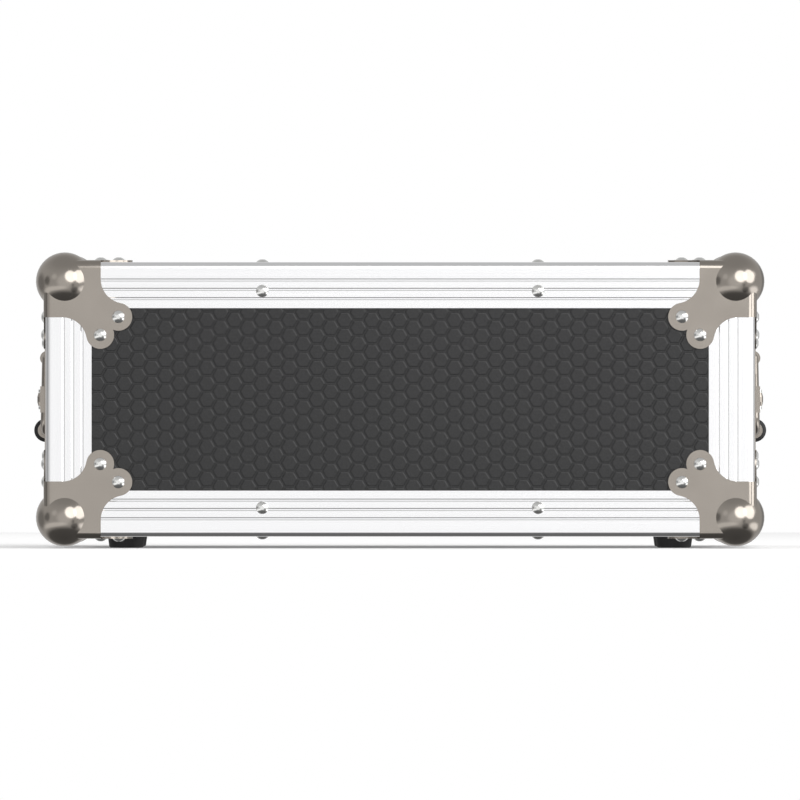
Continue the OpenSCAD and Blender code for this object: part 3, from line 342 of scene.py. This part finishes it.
def drawn_aluminium(name, bars):
    """Satin metal whose die lines run along the bars: a list of the lines' stretches."""
    material, tree, surface = finish_of(name, "#f7f7f8", 0.17, 1.0)
    place = add_node(tree, "ShaderNodeTexCoord")
    lines = []
    for scale in bars:
        stretch = add_node(tree, "ShaderNodeMapping", {"Scale": scale},
                           {"Vector": place.outputs["Object"]})
        lines.append(add_node(tree, "ShaderNodeTexNoise", {"Scale": 1, "Detail": 2},
                              {"Vector": stretch.outputs[0]}).outputs["Fac"])
    if len(lines) == 2:
        # A point belongs to an upright bar where it is nearer to a side than to top or bottom
        apart = add_node(tree, "ShaderNodeSeparateXYZ", {}, {0: place.outputs["Object"]})
        side = add_node(tree, "ShaderNodeMath", {"operation": "ABSOLUTE"},
                        {0: apart.outputs["X"]})
        level = add_node(tree, "ShaderNodeMath",
                         {"operation": "SUBTRACT", 1: case_middle * MM},
                         {0: apart.outputs["Z"]})
        height = add_node(tree, "ShaderNodeMath", {"operation": "ABSOLUTE"},
                          {0: level.outputs[0]})
        nearer = add_node(tree, "ShaderNodeMath", {"operation": "SUBTRACT"},
                          {0: side.outputs[0], 1: height.outputs[0]})
        upright = add_node(tree, "ShaderNodeMath",
                           {"operation": "GREATER_THAN", 1: (half_width - half_height) * MM},
                           {0: nearer.outputs[0]})
        chosen = add_node(tree, "ShaderNodeMix", {},
                          {0: upright.outputs[0], 2: lines[0], 3: lines[1]})
        line = chosen.outputs[0]
    else:
        line = lines[0]
    satin = add_node(tree, "ShaderNodeMapRange", {"To Min": 0.14, "To Max": 0.19},
                     {"Value": line})
    shade = add_node(tree, "ShaderNodeMix",
                     {"data_type": "RGBA", 6: linear("#f4f4f5"), 7: linear("#fafafb")},
                     {0: line})
    relief = add_node(tree, "ShaderNodeBump", {"Strength": 0.05, "Distance": 0.000005},
                      {"Height": line})
    tree.links.new(surface.inputs["Roughness"], satin.outputs[0])
    tree.links.new(surface.inputs["Base Color"], shade.outputs[2])
    tree.links.new(surface.inputs["Normal"], relief.outputs[0])
    return material


# Die lines are under 0.1 mm apart and are drawn 0.5 mm apart so that they show.
line_pitch = 2000
line_run = 4
lengthwise_aluminium = drawn_aluminium(
    "anodised aluminium drawn lengthwise", [(line_pitch, line_run, line_pitch)])
mitred_aluminium = drawn_aluminium(
    "anodised aluminium of mitred bars",
    [(line_run, line_pitch, line_pitch), (line_pitch, line_pitch, line_run)])
dress(("sleeve_upper_edges", "sleeve_lower_edges"), lengthwise_aluminium)
dress(("sleeve_front_rim", "sleeve_rear_rim"), mitred_aluminium)
for lid in lids:
    dress((lid + "_side_edges",), lengthwise_aluminium)
    dress((lid + "_face_edges", lid + "_rim"), mitred_aluminium)

# Ball corners, corner braces, hooks, wings and the dishes of latches and handles: steel sheet
# of 1.2 to 2.2 mm, deep drawn or stamped, nickel plated and held by rivets and pins. The
# bails are 8 mm rod with the same plating.
latches = ("front_left", "front_right", "rear_left", "rear_right")

# Dark nickel has a satin shine, with clouds of about 22 mm from the bath and a tooth that is
# drawn 0.5 mm coarse so that it shows.
nickel_steel, tree, surface = finish_of("dark nickel plated steel", "#a29b93", 0.22, 1.0)
place = add_node(tree, "ShaderNodeTexCoord")
clouds = add_node(tree, "ShaderNodeTexNoise", {"Scale": 45, "Detail": 3},
                  {"Vector": place.outputs["Object"]})
tooth = add_node(tree, "ShaderNodeTexNoise", {"Scale": 2000, "Detail": 2},
                 {"Vector": place.outputs["Object"]})
shade = add_node(tree, "ShaderNodeMix",
                 {"data_type": "RGBA", 6: linear("#9e978f"), 7: linear("#a69f97")},
                 {0: clouds.outputs["Fac"]})
satin = add_node(tree, "ShaderNodeMapRange", {"To Min": 0.13, "To Max": 0.19},
                 {"Value": clouds.outputs["Fac"]})
relief = add_node(tree, "ShaderNodeBump", {"Strength": 0.08, "Distance": 0.00001},
                  {"Height": tooth.outputs["Fac"]})
tree.links.new(surface.inputs["Base Color"], shade.outputs[2])
tree.links.new(surface.inputs["Roughness"], satin.outputs[0])
tree.links.new(surface.inputs["Normal"], relief.outputs[0])
dress(("sleeve_braces", "left_handle_dish", "right_handle_dish", "left_bail",
       "right_bail"), nickel_steel)
for lid in lids:
    dress((lid + "_corners", lid + "_braces", lid + "_keepers"), nickel_steel)
for latch in latches:
    dress((latch + "_base", latch + "_hook", latch + "_wing"), nickel_steel)

# Rivets, screws, rotors and springs: turned, pressed or wound steel with bright zinc on it, a
# clear silver with smears of about 3 mm from handling. The rivets are set from outside, and
# the screws hold rails and feet.
bright_zinc, tree, surface = finish_of("bright zinc plated steel", "#e9e9e7", 0.15, 1.0)
place = add_node(tree, "ShaderNodeTexCoord")
smears = add_node(tree, "ShaderNodeTexNoise", {"Scale": 350, "Detail": 3},
                  {"Vector": place.outputs["Object"]})
shade = add_node(tree, "ShaderNodeMix",
                 {"data_type": "RGBA", 6: linear("#e2e2e0"), 7: linear("#f0f0ee")},
                 {0: smears.outputs["Fac"]})
satin = add_node(tree, "ShaderNodeMapRange", {"To Min": 0.1, "To Max": 0.2},
                 {"Value": smears.outputs["Fac"]})
tree.links.new(surface.inputs["Base Color"], shade.outputs[2])
tree.links.new(surface.inputs["Roughness"], satin.outputs[0])
dress(("sleeve_rivets", "front_lid_rivets", "rear_lid_rivets", "rail_screws", "foot_screws",
       "handle_springs"), bright_zinc)
dress([latch + "_rotor" for latch in latches], bright_zinc)

# Rack rails: 2 mm steel angle with a row of tapped holes, rolled, galvanised and screwed to
# the sleeve's sides. The zinc has crystals of about 6 mm, which show as soft patches.
rail_zinc, tree, surface = finish_of("galvanised rail steel", "#a9abad", 0.4, 1.0)
place = add_node(tree, "ShaderNodeTexCoord")
crystals = add_node(tree, "ShaderNodeTexVoronoi", {"Scale": 170},
                    {"Vector": place.outputs["Object"]})
shade = add_node(tree, "ShaderNodeMix",
                 {"data_type": "RGBA", 6: linear("#9c9fa2"), 7: linear("#b8babc")},
                 {0: crystals.outputs["Distance"]})
satin = add_node(tree, "ShaderNodeMapRange", {"To Min": 0.32, "To Max": 0.5},
                 {"Value": crystals.outputs["Distance"]})
tree.links.new(surface.inputs["Base Color"], shade.outputs[2])
tree.links.new(surface.inputs["Roughness"], satin.outputs[0])
dress([f"{end}_{side}_rail" for end in ("front", "rear") for side in ("left", "right")],
      rail_zinc)

# Handle grips and feet: black moulded rubber, matt, with patches of dust of about 14 mm. The
# mould's grain is drawn 0.7 mm coarse so that it shows. The feet are screwed to the bottom
# board, and the grips are pushed over the bails.
black_rubber, tree, surface = finish_of("moulded black rubber", "#1b1b1c", 0.62)
place = add_node(tree, "ShaderNodeTexCoord")
grain = add_node(tree, "ShaderNodeTexNoise", {"Scale": 1400, "Detail": 2},
                 {"Vector": place.outputs["Object"]})
dust = add_node(tree, "ShaderNodeTexNoise", {"Scale": 70, "Detail": 4},
                {"Vector": place.outputs["Object"]})
shade = add_node(tree, "ShaderNodeMix",
                 {"data_type": "RGBA", 6: linear("#171718"), 7: linear("#232324")},
                 {0: dust.outputs["Fac"]})
relief = add_node(tree, "ShaderNodeBump", {"Strength": 0.4, "Distance": 0.0001},
                  {"Height": grain.outputs["Fac"]})
tree.links.new(surface.inputs["Base Color"], shade.outputs[2])
tree.links.new(surface.inputs["Normal"], relief.outputs[0])
dress(("feet",), black_rubber)

# The grips are ribbed all round for the fingers, and have a plain collar and a rounded edge
# at both ends. Their outline is turned round the bore.
grip_half = 45
grip_radius = 9
grip_bore = 4.05
grip_collar = 7
rib_count = 30
rib_depth = 0.5
rib_steps = 6
grip_out = 2
grip_level = 89.8
end_radius = 2
end_steps = 4
sides = 64
sharp_angle = 50
quarter = [math.radians(90 / end_steps * k) for k in range(end_steps + 1)]
profile = [(-grip_half, grip_bore)]
profile += [(end_radius - grip_half - end_radius * math.cos(t),
             grip_radius - end_radius + end_radius * math.sin(t)) for t in quarter]
other_end = [(-along, radius) for along, radius in reversed(profile)]
ribbed_half = grip_half - grip_collar
for k in range(rib_count * rib_steps + 1):
    wave = (1 - math.cos(2 * math.pi * k / rib_steps)) / 2
    along = ribbed_half * (2 * k / (rib_count * rib_steps) - 1)
    profile.append((along, grip_radius - rib_depth * wave))
profile += other_end
for side, way in (("left", -1), ("right", 1)):
    verts, faces = [], []
    for along, radius in profile:
        for k in range(sides):
            turn = 2 * math.pi * k / sides
            verts.append(Vector((way * (half_width + grip_out) + radius * math.sin(turn), along,
                                 grip_level + radius * math.cos(turn))) * MM)
    for i in range(len(profile)):
        j = (i + 1) % len(profile)
        for k in range(sides):
            m = (k + 1) % sides
            faces.append((i * sides + k, i * sides + m, j * sides + m, j * sides + k))
    mesh = bpy.data.meshes.new(side + "_grip")
    mesh.from_pydata(verts, [], faces)
    mesh.materials.append(black_rubber)
    mesh.shade_smooth()
    mesh.set_sharp_from_angle(angle=math.radians(sharp_angle))
    mesh.update()
    grip = bpy.data.objects.new(side + "_ribbed_grip", mesh)
    bpy.context.scene.collection.objects.link(grip)
    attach(grip, side + "_handle")
    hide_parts(side + "_grip")

# The studio: a pale paper floor and a white surround. The floor is seen almost edge on from
# the front and keeps the shadow of the case. Metal mirrors the surround and not the floor.
floor_half = 3.0
paper_glow = 0.2
floor_mesh = bpy.data.meshes.new("studio floor")
floor_mesh.from_pydata([(-floor_half, -floor_half, 0), (floor_half, -floor_half, 0),
                        (floor_half, floor_half, 0), (-floor_half, floor_half, 0)],
                       [], [(0, 1, 2, 3)])
floor = bpy.data.objects.new("studio_floor", floor_mesh)
bpy.context.scene.collection.objects.link(floor)
floor.visible_glossy = False
paper, tree, surface = finish_of("white paper", "#f4f4f4", 0.9)
rays = add_node(tree, "ShaderNodeLightPath")
strength = add_node(tree, "ShaderNodeMath", {"operation": "MULTIPLY", 1: paper_glow},
                    {0: rays.outputs["Is Camera Ray"]})
glow = add_node(tree, "ShaderNodeEmission", {}, {"Strength": strength.outputs[0]})
both = add_node(tree, "ShaderNodeAddShader", {}, {0: surface.outputs[0], 1: glow.outputs[0]})
tree.links.new(tree.nodes["Material Output"].inputs["Surface"], both.outputs[0])
floor_mesh.materials.append(paper)

# The surround is white to the camera. To metal it is a white room that gets dark low down:
# how bright it is at each elevation in degrees. Everything else gets an even light from it.
room_light = 0.55
room_levels = ((-90, 0.12), (-46, 0.15), (-33, 0.66), (-8, 0.68), (30, 0.66), (60, 0.52),
               (90, 0.5))
world = bpy.data.worlds.new("studio surround")
bpy.context.scene.world = world
world.use_nodes = True
tree = world.node_tree
tree.nodes.clear()
place = add_node(tree, "ShaderNodeTexCoord")
apart = add_node(tree, "ShaderNodeSeparateXYZ", {}, {0: place.outputs["Generated"]})
behind = add_node(tree, "ShaderNodeMath", {"operation": "MULTIPLY", 1: -1},
                  {0: apart.outputs["Y"]})
azimuth = add_node(tree, "ShaderNodeMath", {"operation": "ARCTAN2"},
                   {0: apart.outputs["X"], 1: behind.outputs[0]})
elevation = add_node(tree, "ShaderNodeMath", {"operation": "ARCSINE"},
                     {0: apart.outputs["Z"]})
rise = add_node(tree, "ShaderNodeMapRange",
                {"From Min": -math.pi / 2, "From Max": math.pi / 2},
                {"Value": elevation.outputs[0]})
levels = add_node(tree, "ShaderNodeValToRGB", {}, {0: rise.outputs[0]})
ramp = levels.color_ramp
for angle, value in room_levels[1:-1]:
    ramp.elements.new((angle + 90) / 180)
for element, (angle, value) in zip(ramp.elements, room_levels):
    element.position = (angle + 90) / 180
    element.color = (value, value, value, 1)
mirrored = levels.outputs[0]

# Metal also mirrors soft light panels and dark flags: their azimuth and elevation in degrees,
# half their width and height, and how much they add. They fade between two shares of that
# half, so that no panel has a hard edge.
panels = (
    (-48, -26, 55, 8, 0.5),
    (90, -25, 26, 10, 1.3),
    (-44, 17, 11, 10, 0.25),
    (-75, 2, 12, 14, -0.4),
    (86, 22, 9, 8, 0.7),
    (0, 0, 30, 26, 0.29),
    (34, -14, 6, 7, -0.35),
    (46, -31, 17, 10, -0.42),
    (-112, -4, 24, 20, -0.32),
    (148, 0, 16, 18, -0.3),
)
panel_fade = (0.6, 1.4)
for panel_azimuth, panel_elevation, half_across, half_up, gain in panels:
    reach = []
    for angle, middle, half in ((azimuth, panel_azimuth, half_across),
                                (elevation, panel_elevation, half_up)):
        away = add_node(tree, "ShaderNodeMath",
                        {"operation": "SUBTRACT", 1: math.radians(middle)},
                        {0: angle.outputs[0]})
        share = add_node(tree, "ShaderNodeMath",
                         {"operation": "DIVIDE", 1: math.radians(half)},
                         {0: away.outputs[0]})
        reach.append(share.outputs[0])
    flat = add_node(tree, "ShaderNodeCombineXYZ", {}, {0: reach[0], 1: reach[1]})
    distance = add_node(tree, "ShaderNodeVectorMath", {"operation": "LENGTH"},
                        {0: flat.outputs[0]})
    soft_edge = add_node(tree, "ShaderNodeMapRange",
                         {"interpolation_type": "SMOOTHSTEP", "From Min": panel_fade[0],
                          "From Max": panel_fade[1], "To Min": gain, "To Max": 0},
                         {"Value": distance.outputs["Value"]})
    mirrored = add_node(tree, "ShaderNodeMath", {"operation": "ADD"},
                        {0: mirrored, 1: soft_edge.outputs[0]}).outputs[0]
rays = add_node(tree, "ShaderNodeLightPath")
soft = add_node(tree, "ShaderNodeMix", {2: room_light},
                {0: rays.outputs["Is Glossy Ray"], 3: mirrored})
strength = add_node(tree, "ShaderNodeMix", {3: 1.0},
                    {0: rays.outputs["Is Camera Ray"], 2: soft.outputs[0]})
sky = add_node(tree, "ShaderNodeBackground", {"Color": (1, 1, 1, 1)},
               {"Strength": strength.outputs[0]})
add_node(tree, "ShaderNodeOutputWorld", {}, {"Surface": sky.outputs[0]})

# The lamps: two large soft ones at the front right, which the ball corners mirror, and two
# small ones that light the rear and the top and aren't mirrored.


def add_lamp(name, azimuth, elevation, distance, size, power, in_metal=True):
    """A round soft lamp that faces the case, and whether metal mirrors it."""
    lamp = bpy.data.lights.new(name, "AREA")
    lamp.shape = "DISK"
    lamp.size = size
    lamp.energy = power
    lamp_object = bpy.data.objects.new(name, lamp)
    bpy.context.scene.collection.objects.link(lamp_object)
    a, e = math.radians(azimuth), math.radians(elevation)
    way = Vector((math.sin(a) * math.cos(e), -math.cos(a) * math.cos(e), math.sin(e)))
    lamp_object.location = way * distance + Vector((0, 0, case_middle * MM))
    lamp_object.rotation_mode = "QUATERNION"
    lamp_object.rotation_quaternion = way.to_track_quat("Z", "Y")
    lamp_object.visible_glossy = in_metal


add_lamp("lamp_front_right", 22.5, 19.5, distance=6.4, size=5.2, power=160)
add_lamp("lamp_right", 59, 17.2, distance=6.4, size=5.2, power=155)
add_lamp("lamp_rear_left", 222, 18, distance=3.2, size=2.1, power=14, in_metal=False)
add_lamp("lamp_overhead", 0, 88, distance=3.2, size=2.4, power=18, in_metal=False)

# The camera stands square on to the front lid, so far away that the sides hardly show. Its
# place is in metres, a hair left of the middle and just under the case's middle height.
lens = 1600
sensor = 36
view_width = 0.6091
camera_shift = -0.00015
camera_height = 0.11304
clip_before = 3
clip_beyond = 5
camera_data = bpy.data.cameras.new("camera")
camera_data.lens = lens
camera_data.sensor_width = sensor
camera = bpy.data.objects.new("camera", camera_data)
bpy.context.scene.collection.objects.link(camera)
bpy.context.scene.camera = camera
camera_distance = view_width * lens / sensor
camera.location = (camera_shift, -(lid_start + lid_depth) * MM - camera_distance,
                   camera_height)
camera.rotation_euler = (math.radians(90), 0, 0)
camera_data.clip_start = camera_distance - clip_before
camera_data.clip_end = camera_distance + clip_beyond

bpy.context.scene.view_settings.view_transform = "Standard"
